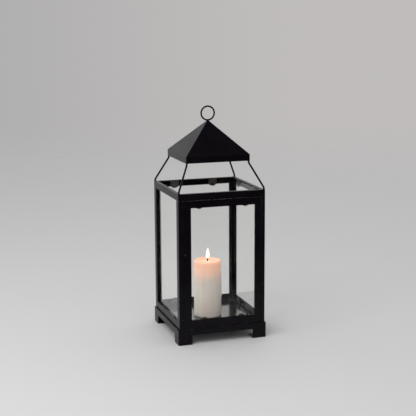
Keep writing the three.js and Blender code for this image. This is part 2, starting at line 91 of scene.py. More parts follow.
KEY_PLACE = Vector((-1.25, -0.95, 1.75))
KEY_AIM = Vector((0, 0, 0.2))
KEY_SIZE = 1.5
KEY_POWER = 21
KEY_COLOR = (1.0, 0.985, 0.965)

# ------------------------------------------------------------------ finishes

# Most values of a noise lie in the first range, and the second is its middle part.
NOISE_SPREAD = (0.3, 0.7)
NOISE_MIDDLE = (0.35, 0.65)

BLACK = (0.0034, 0.0025, 0.0040, 1)
BLACK_RUBBED = (0.015, 0.014, 0.016, 1)
COAT_DUST = (0.030, 0.029, 0.028, 1)
COAT_PALER = 1.35
COAT_SPECULAR = 0.105
COAT_ROUGHNESS = 0.25
EDGE_ROUGHNESS = 0.22
CLOUD_ROUGHNESS = (-0.02, 0.03)
PEEL_ROUGHNESS = (-0.01, 0.015)
DUST_ROUGHNESS = 0.25
PEEL_STRENGTH = 0.08
PEEL_HEIGHT = 0.12 * MM
DUST_SLOPE = (0.7, 0.97)
DUST_MOST = 0.4

PLATE_BLACK = (0.008, 0.008, 0.009, 1)
PLATE_DUST = (0.06, 0.058, 0.055, 1)
PLATE_DUST_MOST = 0.35
PLATE_ROUGHNESS = (0.11, 0.22)
PLATE_RUB_ROUGHNESS = 0.06
PLATE_SPECULAR = 0.75
PLATE_COAT = 0.6
PLATE_COAT_ROUGHNESS = 0.14

GLASS_CLEAR = (0.998, 0.998, 0.990, 1)
GLASS_SMUDGED = (0.980, 0.982, 0.972, 1)
GLASS_SMUDGE_ROUGHNESS = 0.035
GLASS_IOR = 1.25
GLASS_SHADOW = (0.93, 0.95, 0.94, 1)

# Steel finishes: colour, stain, roughness and how metallic.
CLIP_STEEL = ((0.15, 0.135, 0.12, 1), (0.075, 0.064, 0.057, 1), 0.42, 0.7)
CLIP_STEEL_RUBBED = ((0.20, 0.19, 0.175, 1), (0.10, 0.09, 0.08, 1), 0.34, 0.9)
PIN_STEEL = ((0.12, 0.115, 0.11, 1), (0.06, 0.056, 0.052, 1), 0.36, 0.9)
LINE_ROUGHNESS = 0.07
STAIN_ROUGHNESS = 0.12

# Painted glow: the wax gives off light, standing in for the flame's light through it, from
# GLOW_START of its height up, and most of all near the wick's foot.
IVORY = (0.82, 0.745, 0.67, 1)
IVORY_PALER = (0.88, 0.805, 0.735, 1)
# Painted glow tint: the warmer base colour the top of the wax takes under the painted glow.
WAX_PAINTED_GLOW_TINT = (0.96, 0.665, 0.525, 1)
WAX_SPECULAR = 0.45
WAX_ROUGHNESS = (0.16, 0.5)
WAX_WAVINESS = 8 * MM
WAX_LIGHT_REACH = (0.012, 0.006, 0.003)
WAX_LIGHT_SHARE = 0.55
WAX_LIGHT_SCALE = 0.6
GLOW_START = 0.58
GLOW_STRENGTH = 0.27
GLOW_COLOR = (1.0, 0.34, 0.16, 1)
# Painted bright spot near the wick's foot, standing in for the flame's light there: colour, strength,
# reach and place.
GLOW_SPOT_COLOR = (1.0, 0.80, 0.55, 1)
GLOW_SPOT_STRENGTH = 0.7
GLOW_SPOT_REACH = (3 * MM, 7 * MM)
GLOW_SPOT_OFFSET = Vector((0.5 * MM, -4 * MM, 2 * MM))

WICK_CHAR = (0.012, 0.009, 0.008, 1)
WICK_ASH = (0.07, 0.055, 0.048, 1)
WICK_ROUGHNESS = (0.75, 0.98)
EMBER_COLOR = (1.0, 0.22, 0.03, 1)
EMBER_STRENGTH = 2.5
EMBER_START = 0.3

# ------------------------------------------------------------------ finer pieces

EDGE_ROUND = 0.35 * MM
GLASS_EDGE_ROUND = 0.3 * MM
SAME_POINT = 0.01 * MM
FLAT_ANGLE = math.radians(1)
SHARP_ANGLE = math.radians(35)

ROD_RADIUS = 2.5 * MM
ROD_BEND = 3 * MM
ROD_STUB = 1.5 * MM
ROD_SIDES = 24
BEAD_RADIUS = 3.1 * MM
BEAD_HEIGHT = 1.6 * MM
BEAD_SETBACK = 0.9 * MM
BEAD_FULLNESS = 0.7
BEAD_LUMPS = 0.07
BEAD_LUMPS_ROUND = 2.5
BEAD_LUMPS_PLACE = 60
BEAD_STEPS = 8
BEAD_SIDES = 32

RING_WIRE = 4.4 * MM
RING_SIDES = 28
RING_STEPS = 120
RING_WELD_SWELL = 0.25 * MM
RING_WELD_ANGLE = 0.10
COLLAR_RADIUS = 4.5 * MM
COLLAR_HEIGHT = 3.6 * MM
COLLAR_ROUND = 0.8 * MM
COLLAR_SEAT = 0.3 * MM
COLLAR_STEPS = 6
COLLAR_SIDES = 48
STEM_RADIUS = 2.5 * MM
STEM_CHAMFER = 0.3 * MM

CANDLE_SEGMENTS = 180
CANDLE_ROWS = 110
FOOT_ROUND = 1.6 * MM
FOOT_STEPS = 4
RIM_ROUND = 3 * MM
RIM_STEPS = 6
POOL_RADIUS = 33 * MM
POOL_DEPTH = 4 * MM
POOL_LEVEL_PART = 0.78
POOL_STEPS = 8
WAX_WAVE = 0.25 * MM
WAX_RIPPLE = 0.10 * MM
FOOT_WEAR = 0.5 * MM
FOOT_WORN_HEIGHT = 5 * MM
RIM_SAG = 0.9 * MM

WICK_RADIUS = 1.3 * MM
WICK_SHRUNK = 0.12 * MM
WICK_TAPER = 0.55
WICK_WEAR = 0.16 * MM
SOOT_SWELL = 0.9 * MM
SOOT_PLACE = 0.35
SOOT_LENGTH = 0.28
WICK_STEPS = 30
WICK_SIDES = 16

FLAME_HEIGHT = 33 * MM
FLAME_RADIUS = 6.6 * MM
FLAME_FOOT = 4.5 * MM
FLAME_WIDEST = 0.24
FLAME_BELLY = 0.40
FLAME_TAPER = (1.6, 0.75)
FLAME_SHIFT = 0.4 * MM
FLAME_LEAN = 0.8 * MM
FLAME_LEAN_TURN = 2.6
FLAME_CLEAR_PART = 0.12
FLAME_FLICKER = 1.2 * MM
FLAME_ROWS = 40
FLAME_SIDES = 48

# Flame shells: colour at the foot, colour above, strength and how solid they look.
MANTLE = ((0.35, 0.30, 0.9, 1), (1.0, 0.50, 0.28, 1), 0.9, 0.22)
CORE = ((1.0, 0.62, 0.25, 1), (1.0, 0.95, 0.83, 1), 1.6, 0.97)
CORE_WIDTH = 0.82
CORE_HEIGHT = 0.93
CORE_LIFT = 1.2 * MM

FLAME_LIGHT_POWER = 0.012
FLAME_LIGHT_COLOR = (1.0, 0.62, 0.32)
FLAME_LIGHT_HEIGHT = 0.45

# Runs of wax down the side: angle in degrees, top and length as shares of the candle's height,
# half width in mm and how far each stands out in mm.
DRIPS = (
    (-22, 0.72, 0.30, 2.2, 1.5),
    (-10, 0.66, 0.34, 1.8, 1.8),
    (4, 0.58, 0.20, 1.7, 0.8),
    (-34, 0.50, 0.26, 1.5, 0.6),
    (118, 0.97, 0.36, 2.4, 1.1),
    (171, 0.95, 0.22, 2.0, 0.8),
    (236, 0.28, 0.16, 2.0, 0.5),
)


# ------------------------------------------------------------------ small helpers


def link(piece):
    bpy.context.scene.collection.objects.link(piece)
    return piece


def make_mesh(name, vertices, faces):
    """A smooth-shaded mesh object from points and faces given in the shared frame."""
    data = bpy.data.meshes.new(name)
    data.from_pydata([tuple(v) for v in vertices], [], faces)
    tidy = bmesh.new()
    tidy.from_mesh(data)
    bmesh.ops.recalc_face_normals(tidy, faces=tidy.faces)
    tidy.to_mesh(data)
    tidy.free()
    for polygon in data.polygons:
        polygon.use_smooth = True
    return link(bpy.data.objects.new(name, data))


def ring_faces(rows, count):
    """Quads between neighbouring rings of count points each."""
    faces = []
    for row in range(rows - 1):
        for i in range(count):
            j = (i + 1) % count
            a, b = row * count, (row + 1) * count
            faces.append((a + i, a + j, b + j, b + i))
    return faces


def make_lathe(name, profile, segments, centre, shape=None):
    """Turns (radius, height) points round Z at centre. The first and last points are on the axis.

    shape(angle, radius, height) gives the radius and height to use instead.
    """
    vertices = []
    for radius, height in profile[1:-1]:
        for i in range(segments):
            angle = TURN * i / segments
            r, h = shape(angle, radius, height) if shape else (radius, height)
            vertices.append(centre + Vector((r * math.cos(angle), r * math.sin(angle), h)))
    rows = len(profile) - 2
    faces = ring_faces(rows, segments)
    for height, row in ((profile[0][1], 0), (profile[-1][1], rows - 1)):
        tip = len(vertices)
        vertices.append(centre + Vector((0, 0, height)))
        start = row * segments
        faces += [(start + i, start + (i + 1) % segments, tip) for i in range(segments)]
    return make_mesh(name, vertices, faces)


def make_tube(name, points, radii, sides, closed=False):
    """A round tube along points, with one radius for each point."""
    count = len(points)
    vertices = []
    side = None
    for i, point in enumerate(points):
        after = points[(i + 1) % count] if closed or i < count - 1 else point
        before = points[i - 1] if closed or i > 0 else point
        along = (after - before).normalized()
        if side is None:
            side = along.orthogonal().normalized()
        side = (side - along * side.dot(along)).normalized()
        other = along.cross(side)
        for k in range(sides):
            angle = TURN * k / sides
            vertices.append(point + (side * math.cos(angle) + other * math.sin(angle)) * radii[i])
    faces = ring_faces(count, sides)
    if closed:
        last = (count - 1) * sides
        faces += [(last + k, last + (k + 1) % sides, (k + 1) % sides, k) for k in range(sides)]
    else:
        faces.append(tuple(range(sides)))
        faces.append(tuple(range((count - 1) * sides, count * sides)))
    return make_mesh(name, vertices, faces)


def bend_point(a, middle, b, t):
    """A point at a share t of the smooth bend from a to b that middle pulls on."""
    return a * (1 - t) ** 2 + middle * 2 * t * (1 - t) + b * t * t


def round_bend(a, corner, b, reach, steps=8):
    """Points round a bend at corner, which starts and ends reach away from it."""
    start = corner + (a - corner).normalized() * reach
    end = corner + (b - corner).normalized() * reach
    return [bend_point(start, corner, end, i / steps) for i in range(steps + 1)]


def quarter_turn(steps, first=0):
    """The angles from a flat start to upright, from step first on."""
    return [math.pi / 2 * step / steps for step in range(first, steps + 1)]


def apply_union(piece, others):
    """Joins closed pieces into one closed mesh."""
    for other in others:
        union = piece.modifiers.new("join", "BOOLEAN")
        union.operation = "UNION"
        union.solver = "EXACT"
        union.object = other
    bpy.context.view_layer.update()
    shown = piece.evaluated_get(bpy.context.evaluated_depsgraph_get())
    joined = bpy.data.meshes.new_from_object(shown)
    piece.modifiers.clear()
    piece.data = joined
    for other in others:
        bpy.data.objects.remove(other)


def shade_smooth(piece):
    for polygon in piece.data.polygons:
        polygon.use_smooth = True
    shading = piece.modifiers.new("shading", "WEIGHTED_NORMAL")
    shading.keep_sharp = False


def set_material(piece, material):
    piece.data.materials.clear()
    piece.data.materials.append(material)


def smoothstep(low, high, x):
    t = min(1, max(0, (x - low) / (high - low)))
    return t * t * (3 - 2 * t)


def bump_shape(x, width):
    """1 at 0, falling smoothly to almost nothing at twice width."""
    return math.exp(-((x / width) ** 2))


# ------------------------------------------------------------------ materials


class Tree:
    """A short way to write a node tree."""

    def __init__(self, owner):
        owner.use_nodes = True
        self.tree = owner.node_tree
        self.tree.nodes.clear()

    def add(self, kind, inputs=None, **settings):
        made = self.tree.nodes.new(kind)
        for key, value in settings.items():
            setattr(made, key, value)
        for key, value in (inputs or {}).items():
            if isinstance(value, bpy.types.NodeSocket):
                self.tree.links.new(value, made.inputs[key])
            else:
                made.inputs[key].default_value = value
        return made

    def place(self, stretch=None):
        """The place on the piece, with each axis multiplied by stretch if it is given."""
        place = self.add("ShaderNodeTexCoord").outputs["Object"]
        if stretch:
            place = self.add("ShaderNodeMapping", {"Vector": place, "Scale": stretch}).outputs["Vector"]
        return place

    def noise(self, scale, detail=3, roughness=0.5, vector=None):
        inputs = {"Scale": scale, "Detail": detail, "Roughness": roughness}
        inputs["Vector"] = vector or self.place()
        return self.add("ShaderNodeTexNoise", inputs).outputs["Fac"]

    def ramp(self, value, low, high, to_low=0.0, to_high=1.0, smooth=True):
        made = self.add("ShaderNodeMapRange", {
            "Value": value, "From Min": low, "From Max": high, "To Min": to_low, "To Max": to_high,
        })
        made.interpolation_type = "SMOOTHSTEP" if smooth else "LINEAR"
        return made.outputs["Result"]

    def math(self, operation, a, b=0.0):
        made = self.add("ShaderNodeMath", {0: a, 1: b}, operation=operation)
        return made.outputs["Value"]

    def vector_math(self, operation, a, b=(0, 0, 0)):
        made = self.add("ShaderNodeVectorMath", {0: a, 1: b}, operation=operation)
        return made.outputs["Value"]

    def mix(self, factor, a, b):
        made = self.add("ShaderNodeMix", {"Factor": factor}, data_type="RGBA")
        for index, value in ((6, a), (7, b)):
            if isinstance(value, bpy.types.NodeSocket):
                self.tree.links.new(value, made.inputs[index])
            else:
                made.inputs[index].default_value = value
        return made.outputs[2]

    def axis(self, vector, name):
        return self.add("ShaderNodeSeparateXYZ", {"Vector": vector}).outputs[name]

    def bump(self, height, strength, distance, normal=None):
        inputs = {"Height": height, "Strength": strength, "Distance": distance}
        if normal:
            inputs["Normal"] = normal
        return self.add("ShaderNodeBump", inputs).outputs["Normal"]

    def mix_shader(self, factor, a, b):
        return self.add("ShaderNodeMixShader", {0: factor, 1: a.outputs[0], 2: b.outputs[0]})

    def finish(self, shader, kind="ShaderNodeOutputMaterial"):
        self.add(kind, {"Surface": shader.outputs[0]})


def new_material(name):
    made = bpy.data.materials.new(name)
    return made, Tree(made)


def coat_material(name, color, roughness):
    """Baked-on black coat: an orange-peel surface, cloudy gloss and a little dust on top."""
    made, tree = new_material(name)
    clouds = tree.noise(scale=22, detail=4)
    peel = tree.noise(scale=620, detail=2)
    smoother, rougher = CLOUD_ROUGHNESS
    rough = tree.math(
        "ADD",
        tree.ramp(clouds, *NOISE_SPREAD, roughness + smoother, roughness + rougher),
        tree.ramp(peel, *NOISE_MIDDLE, *PEEL_ROUGHNESS),
    )
    up = tree.axis(tree.add("ShaderNodeNewGeometry").outputs["Normal"], "Z")
    specks = tree.ramp(tree.noise(scale=95, detail=5, roughness=0.7), 0.46, 0.72)
    dust = tree.math("MULTIPLY", tree.ramp(up, *DUST_SLOPE, 0, DUST_MOST), specks)
    paler = [c * COAT_PALER for c in color[:3]] + [1]
    shade = tree.mix(tree.ramp(clouds, *NOISE_SPREAD), color, paler)
    shader = tree.add("ShaderNodeBsdfPrincipled", {
        "Base Color": tree.mix(dust, shade, COAT_DUST),
        "Roughness": tree.math("ADD", rough, tree.math("MULTIPLY", dust, DUST_ROUGHNESS)),
        "Specular IOR Level": COAT_SPECULAR,
        "Normal": tree.bump(peel, PEEL_STRENGTH, PEEL_HEIGHT),
    })
    tree.finish(shader)
    return made


def gloss_material(name):
    """Glossy enamel on the floor plate, with wiped smudges and fine rub marks."""
    made, tree = new_material(name)
    wiped = tree.place(stretch=(1, 5, 1))
    smudges = tree.ramp(tree.noise(scale=16, detail=5, roughness=0.6, vector=wiped), 0.42, 0.68)
    marks = tree.ramp(tree.noise(scale=240, detail=3, roughness=0.6, vector=wiped), 0.5, 0.8)
    dust = tree.ramp(tree.noise(scale=150, detail=5, roughness=0.75), 0.6, 0.8, 0, PLATE_DUST_MOST)
    shader = tree.add("ShaderNodeBsdfPrincipled", {
        "Base Color": tree.mix(dust, PLATE_BLACK, PLATE_DUST),
        "Roughness": tree.math(
            "ADD",
            tree.ramp(smudges, 0, 1, *PLATE_ROUGHNESS),
            tree.math("MULTIPLY", marks, PLATE_RUB_ROUGHNESS),
        ),
        "Specular IOR Level": PLATE_SPECULAR,
        "Coat Weight": PLATE_COAT,
        "Coat Roughness": PLATE_COAT_ROUGHNESS,
        "Normal": tree.bump(tree.noise(scale=38), strength=0.1, distance=0.4 * MM),
    })
    tree.finish(shader)
    return made


def glass_material(name):
    """Clear float glass that lets light through, with faint finger smudges."""
    made, tree = new_material(name)
    smudge = tree.ramp(tree.noise(scale=24, detail=5, roughness=0.65), 0.5, 0.75)
    solid = tree.add("ShaderNodeBsdfPrincipled", {
        "Base Color": tree.mix(smudge, GLASS_CLEAR, GLASS_SMUDGED),
        "Roughness": tree.ramp(smudge, 0, 1, 0.0, GLASS_SMUDGE_ROUGHNESS),
        "IOR": GLASS_IOR,
        "Transmission Weight": 1.0,
    })
    clear = tree.add("ShaderNodeBsdfTransparent", {"Color": GLASS_SHADOW})
    shadow = tree.add("ShaderNodeLightPath").outputs["Is Shadow Ray"]
    tree.finish(tree.mix_shader(shadow, solid, clear))
    return made


def steel_material(name, color, stain, roughness, metallic):
    """Bent or drawn steel with rolling lines and darker stains."""
    made, tree = new_material(name)
    drawn = tree.place(stretch=(1, 1, 0.04))
    lines = tree.noise(scale=900, detail=2, vector=drawn)
    stains = tree.ramp(tree.noise(scale=130, detail=4, roughness=0.6), 0.4, 0.66)
    shader = tree.add("ShaderNodeBsdfPrincipled", {
        "Base Color": tree.mix(stains, color, stain),
        "Metallic": metallic,
        "Roughness": tree.math(
            "ADD",
            tree.ramp(lines, *NOISE_SPREAD, roughness - LINE_ROUGHNESS, roughness + LINE_ROUGHNESS),
            tree.math("MULTIPLY", stains, STAIN_ROUGHNESS),
        ),
        "Normal": tree.bump(lines, strength=0.12, distance=0.05 * MM),
    })
    tree.finish(shader)
    return made


def wax_material(name, low, high, wick):
    """Ivory wax, lit through from the flame and soft near the top, with a painted warm glow there."""
    made, tree = new_material(name)
    place = tree.place()
    clouds = tree.noise(scale=34, detail=4, roughness=0.55)
    fine = tree.noise(scale=420, detail=3, roughness=0.6)
    streaks = tree.noise(scale=70, vector=tree.place(stretch=(1, 1, 0.18)))
    ivory = tree.mix(tree.ramp(streaks, *NOISE_MIDDLE), IVORY, IVORY_PALER)

    waves = tree.ramp(clouds, *NOISE_SPREAD, -WAX_WAVINESS, WAX_WAVINESS, smooth=False)
    wavy = tree.math("ADD", tree.axis(place, "Z"), waves)
    # Painted glow: above GLOW_START the wax is tinted warm and gives off light, standing in for the
    # flame's light.
    glow = tree.ramp(wavy, low + GLOW_START * (high - low), high)
    wet = tree.math("MULTIPLY", tree.ramp(wavy, high - 30 * MM, high - 4 * MM), -0.5)
    # Painted bright spot: the wax gives off more light round the wick's foot, standing in for the
    # flame's light.
    from_glow_spot = tree.vector_math("DISTANCE", place, wick + GLOW_SPOT_OFFSET)
    painted_glow_spot = tree.ramp(from_glow_spot, *GLOW_SPOT_REACH, GLOW_SPOT_STRENGTH, 0)
    shader = tree.add("ShaderNodeBsdfPrincipled", {
        "Base Color": tree.mix(glow, ivory, WAX_PAINTED_GLOW_TINT),
        "Roughness": tree.ramp(tree.math("ADD", clouds, wet), 0.0, 0.7, *WAX_ROUGHNESS),
        "Subsurface Weight": WAX_LIGHT_SHARE,
        "Subsurface Radius": WAX_LIGHT_REACH,
        "Subsurface Scale": WAX_LIGHT_SCALE,
        "Specular IOR Level": WAX_SPECULAR,
        "Emission Color": tree.mix(painted_glow_spot, GLOW_COLOR, GLOW_SPOT_COLOR),
        "Emission Strength": tree.math("ADD", tree.math("MULTIPLY", glow, GLOW_STRENGTH), painted_glow_spot),
        "Normal": tree.bump(fine, 0.10, 0.2 * MM, tree.bump(clouds, 0.25, 0.8 * MM)),
    })
    tree.finish(shader)
    return made


def wick_material(name, low, high):
    """Charred cotton with ash at its braid and a glowing end."""
    made, tree = new_material(name)
    braid = tree.noise(scale=1500, detail=3, roughness=0.7)
    ember = tree.ramp(tree.axis(tree.place(), "Z"), high - EMBER_START * (high - low), high)
    shader = tree.add("ShaderNodeBsdfPrincipled", {
        "Base Color": tree.mix(tree.ramp(braid, 0.4, 0.7), WICK_CHAR, WICK_ASH),
        "Roughness": tree.ramp(braid, *NOISE_SPREAD, *WICK_ROUGHNESS),
        "Emission Color": EMBER_COLOR,
        "Emission Strength": tree.math("MULTIPLY", ember, EMBER_STRENGTH),
        "Normal": tree.bump(braid, strength=0.8, distance=0.4 * MM),
    })
    tree.finish(shader)
    return made


def flame_material(name, low, high, cool, hot, strength, body):
    """A flame that is clear at its foot. body is how solid its bright part looks."""
    made, tree = new_material(name)
    licks = tree.noise(scale=160, detail=2)
    flicker = tree.ramp(licks, *NOISE_SPREAD, -FLAME_FLICKER, FLAME_FLICKER)
    lick = tree.math("ADD", tree.axis(tree.place(), "Z"), flicker)
    middle = low + FLAME_CLEAR_PART * (high - low)
    color = tree.mix(tree.ramp(lick, low, middle), cool, hot)
    light = tree.add("ShaderNodeEmission", {"Color": color, "Strength": strength})
    clear = tree.add("ShaderNodeBsdfTransparent")
    solid = tree.ramp(lick, low, middle, 0.5 * body, body)
    tree.finish(tree.mix_shader(solid, clear, light))
    return made


def once_mirrored(tree, path):
    """1 for rays that were mirrored exactly once, and 0 for the others."""
    return tree.add("ShaderNodeMath", {0: path.outputs["Glossy Depth"], 1: 1, 2: 0.5},
                    operation="COMPARE").outputs["Value"]


def floor_material(name):
    """Matt pale paper that fades into the background far away."""
    made, tree = new_material(name)
    place = tree.place()
    matt = tree.add("ShaderNodeBsdfPrincipled", {
        "Base Color": tree.mix(tree.noise(scale=3, detail=2), FLOOR_COLOR, FLOOR_PALER),
        "Roughness": tree.ramp(tree.noise(scale=120, detail=4), *NOISE_SPREAD, *FLOOR_ROUGHNESS),
        "Specular IOR Level": FLOOR_SPECULAR,
    })
    clear = tree.add("ShaderNodeBsdfTransparent")
    far = tree.ramp(tree.vector_math("LENGTH", place), *FLOOR_FADE)
    in_front = tree.ramp(tree.math("MULTIPLY", tree.axis(place, "Y"), -1), *DARK_FRONT)
    mirrored = once_mirrored(tree, tree.add("ShaderNodeLightPath"))
    gone = tree.math("MAXIMUM", far, tree.math("MULTIPLY", in_front, mirrored))
    tree.finish(tree.mix_shader(gone, matt, clear))
    return made


# ------------------------------------------------------------------ the studio


def make_camera():
    data = bpy.data.cameras.new("camera")
    data.lens = CAMERA_LENS
    data.sensor_width = SENSOR_WIDTH
    data.dof.use_dof = False
    a, e, r = CAMERA_AZIMUTH, CAMERA_ELEVATION, CAMERA_ROLL
    back = Vector((math.sin(a) * math.cos(e), -math.cos(a) * math.cos(e), math.sin(e)))
    level = Vector((math.cos(a), math.sin(a), 0))
    up = back.cross(level)
    right = level * math.cos(r) + up * math.sin(r)
    above = up * math.cos(r) - level * math.sin(r)
    turn = Matrix((right, above, back)).transposed().to_4x4()
    camera = link(bpy.data.objects.new("camera", data))
    camera.matrix_world = Matrix.Translation(CAMERA_PLACE) @ turn
    bpy.context.scene.camera = camera


def make_world():
    """A pale background, and light that comes mostly from behind and from the left.

    The world's own sampling is off, because it looks the world up without the path's depths.
    """
    world = bpy.data.worlds.new("studio")
    bpy.context.scene.world = world
    world.cycles.sampling_method = "NONE"
    tree = Tree(world)
    direction = tree.add("ShaderNodeTexCoord").outputs["Generated"]
    toward = tree.vector_math("DOT_PRODUCT", direction, ROOM_LIGHT_SIDE)
    fill = tree.ramp(toward, *FILL_TURN, *FILL)
    overhead = tree.ramp(tree.axis(direction, "Z"), *GLOSS_OVERHEAD)
    gloss = tree.math("MULTIPLY", tree.ramp(toward, *GLOSS_TURN, *GLOSS_ROOM), overhead)
    path = tree.add("ShaderNodeLightPath")
    lights_matt = tree.math("MINIMUM", path.outputs["Diffuse Depth"], 1)
    room = tree.add("ShaderNodeMix", {"Factor": lights_matt, "A": gloss, "B": fill})
    light = tree.add("ShaderNodeBackground", {
        "Color": (1, 1, 1, 1), "Strength": room.outputs["Result"],
    })
    backdrop = tree.mix(tree.ramp(tree.axis(direction, "X"), *SKY_TURN), SKY_LEFT, SKY_RIGHT)
    sky = tree.add("ShaderNodeBackground", {"Color": backdrop, "Strength": 1.0})
    lit = tree.math("MAXIMUM", lights_matt, once_mirrored(tree, path))
    tree.finish(tree.mix_shader(lit, sky, light), "ShaderNodeOutputWorld")


def make_floor():
    angles = [TURN * i / FLOOR_SIDES for i in range(FLOOR_SIDES)]
    rim = [Vector((math.cos(angle), math.sin(angle), 0)) * FLOOR_RADIUS for angle in angles]
    floor = make_mesh("floor", rim, [tuple(range(FLOOR_SIDES))])
    set_material(floor, floor_material("floor_paper"))


def make_key():
    """The large soft light, high up at the front left."""
    data = bpy.data.lights.new("key", "AREA")
    data.shape = "SQUARE"
    data.size = KEY_SIZE
    data.energy = KEY_POWER
    data.color = KEY_COLOR
    key = link(bpy.data.objects.new("key", data))
    key.location = KEY_PLACE
    key.rotation_euler = (KEY_AIM - KEY_PLACE).to_track_quat("-Z", "Y").to_euler()


# ------------------------------------------------------------------ CAD nodes


def round_edges(piece, width, edge_slot):
    """Rounds the sharp edges of a CAD node and evens out its shading, without moving it.

    The rounded faces take the material in edge_slot, or keep their own if it is None.
    """
    weld = piece.modifiers.new("weld", "WELD")
    weld.merge_threshold = SAME_POINT
    flat = piece.modifiers.new("flat", "DECIMATE")
    flat.decimate_type = "DISSOLVE"
    flat.angle_limit = FLAT_ANGLE
    bevel = piece.modifiers.new("edges", "BEVEL")
    bevel.limit_method = "ANGLE"
    bevel.angle_limit = SHARP_ANGLE
    bevel.width = width
    bevel.segments = 2
    bevel.use_clamp_overlap = True
    if edge_slot is not None:
        bevel.material = edge_slot
    shading = piece.modifiers.new("shading", "WEIGHTED_NORMAL")
    shading.weight = 60
    shading.keep_sharp = False


def slot_of(piece):
    return piece.material_slots[0].material.name.split(".")[0]


def finish_cad_nodes(materials):
    for _, piece in sorted(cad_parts.items()):
        slot = slot_of(piece)
        main, edge = materials[slot]
        piece.material_slots[0].material = main
        if edge:
            piece.data.materials.append(edge)
        width = GLASS_EDGE_ROUND if slot == "glass" else EDGE_ROUND
        round_edges(piece, width, 1 if edge else None)


# ------------------------------------------------------------------ rods and ring


def make_bead(name, end, up):
    """The weld round a rod's end: a low, slightly lumpy collar that stays inside its corner."""
    outward = Vector((math.copysign(1, end.x), math.copysign(1, end.y), 0)).normalized()
    place = end - outward * BEAD_SETBACK
    profile = [(0, 0)]
    for angle in quarter_turn(BEAD_STEPS)[:-1]:
        radius = BEAD_RADIUS * math.cos(angle) ** BEAD_FULLNESS
        profile.append((radius, BEAD_HEIGHT * math.sin(angle) * up))
    profile.append((0, BEAD_HEIGHT * up))

    def lumpy(angle, radius, height):
        around = Vector((math.cos(angle), math.sin(angle), 0)) * BEAD_LUMPS_ROUND
        lump = noise.noise(around + place * BEAD_LUMPS_PLACE)
        return radius * (1 + BEAD_LUMPS * lump), height

    return make_lathe(name, profile, BEAD_SIDES, place, lumpy)


def make_rod(corner, sign_x, sign_y, coat):
    """A bent rod that stands on the body's corner and leans in to the roof's corner."""
    node = f"rod_{corner}"
    low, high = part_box(node)
    outer = max(abs(low.x), abs(high.x)) - ROD_RADIUS
    inner = min(abs(low.x), abs(high.x)) + ROD_RADIUS
    out = Vector((sign_x * outer, sign_y * outer, 0))
    near = Vector((sign_x * inner, sign_y * inner, 0))
    foot = out + Vector((0, 0, low.z))
    knee = out + Vector((0, 0, low.z + ROD_STUB + ROD_BEND))
    elbow = near + Vector((0, 0, high.z - ROD_STUB - ROD_BEND))
    head = near + Vector((0, 0, high.z))
    points = [foot, *round_bend(foot, knee, elbow, ROD_BEND),
              *round_bend(knee, elbow, head, ROD_BEND), head]
    rod = make_tube(f"{node}_wire", points, [ROD_RADIUS] * len(points), ROD_SIDES)
    apply_union(rod, [make_bead("bead_foot", foot, 1), make_bead("bead_head", head, -1)])
    shade_smooth(rod)
    set_material(rod, coat)
    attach(rod, "lantern")
    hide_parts(node)


def make_ring_wire(low, high):
    """The ring itself, a little swollen at the bottom where its ends are welded."""
    wire = RING_WIRE / 2
    radius = (high.x - low.x) / 2 - wire
    middle = Vector((0, 0, high.z - radius - wire))
    points, radii = [], []
    for i in range(RING_STEPS):
        from_foot = TURN * i / RING_STEPS
        angle = from_foot - math.pi / 2
        points.append(middle + Vector((math.cos(angle), 0, math.sin(angle))) * radius)
        apart = abs((from_foot + math.pi) % TURN - math.pi)
        radii.append(wire + RING_WELD_SWELL * bump_shape(apart, RING_WELD_ANGLE))
    return make_tube("hanging_ring_wire", points, radii, RING_SIDES, closed=True)


def make_collar(foot, seat):
    """The turned collar, and its stem from foot up to seat."""
    top = seat + COLLAR_HEIGHT
    profile = [(0, foot), (STEM_RADIUS - STEM_CHAMFER, foot), (STEM_RADIUS, foot + STEM_CHAMFER),
               (STEM_RADIUS, seat), (COLLAR_RADIUS - STEM_CHAMFER, seat),
               (COLLAR_RADIUS, seat + STEM_CHAMFER)]
    for angle in quarter_turn(COLLAR_STEPS):
        profile.append((COLLAR_RADIUS - COLLAR_ROUND * (1 - math.cos(angle)),
                        top - COLLAR_ROUND * (1 - math.sin(angle))))
    profile.append((0, top))
    return make_lathe("collar", profile, COLLAR_SIDES, Vector((0, 0, 0)))


def make_ring(coat):
    """The ring of bent wire, on a turned collar and stem."""
    low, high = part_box("hanging_ring")
    roof_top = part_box("roof")[1].z
    ring = make_ring_wire(low, high)
    apply_union(ring, [make_collar(low.z, roof_top + COLLAR_SEAT)])
    shade_smooth(ring)
    set_material(ring, coat)
    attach(ring, "lantern")
    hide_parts("hanging_ring")


# ------------------------------------------------------------------ candle


def candle_profile(radius, height):
    """From the middle of the bottom, up the side, over the rim and down into the pool."""
    points = [(0, 0), (0.5 * radius, 0), (radius - FOOT_ROUND, 0)]
    for angle in quarter_turn(FOOT_STEPS, first=1):
        points.append((radius - FOOT_ROUND * (1 - math.sin(angle)), FOOT_ROUND * (1 - math.cos(angle))))
    side = height - RIM_ROUND - FOOT_ROUND
    for row in range(1, CANDLE_ROWS):
        points.append((radius, FOOT_ROUND + side * row / CANDLE_ROWS))
    for angle in quarter_turn(RIM_STEPS):
        points.append((radius - RIM_ROUND * (1 - math.cos(angle)),
                       height - RIM_ROUND * (1 - math.sin(angle))))
    inner = radius - RIM_ROUND
    level = POOL_LEVEL_PART * POOL_RADIUS
    for step in range(1, POOL_STEPS + 1):
        t = step / POOL_STEPS
        points.append((inner + (level - inner) * t, height - POOL_DEPTH * smoothstep(0, 1, t)))
    pool = height - POOL_DEPTH
    points += [(level * share, pool) for share in (0.8, 0.6, 0.4, 0.25, 0.12)]
    points.append((0, pool))
    return points


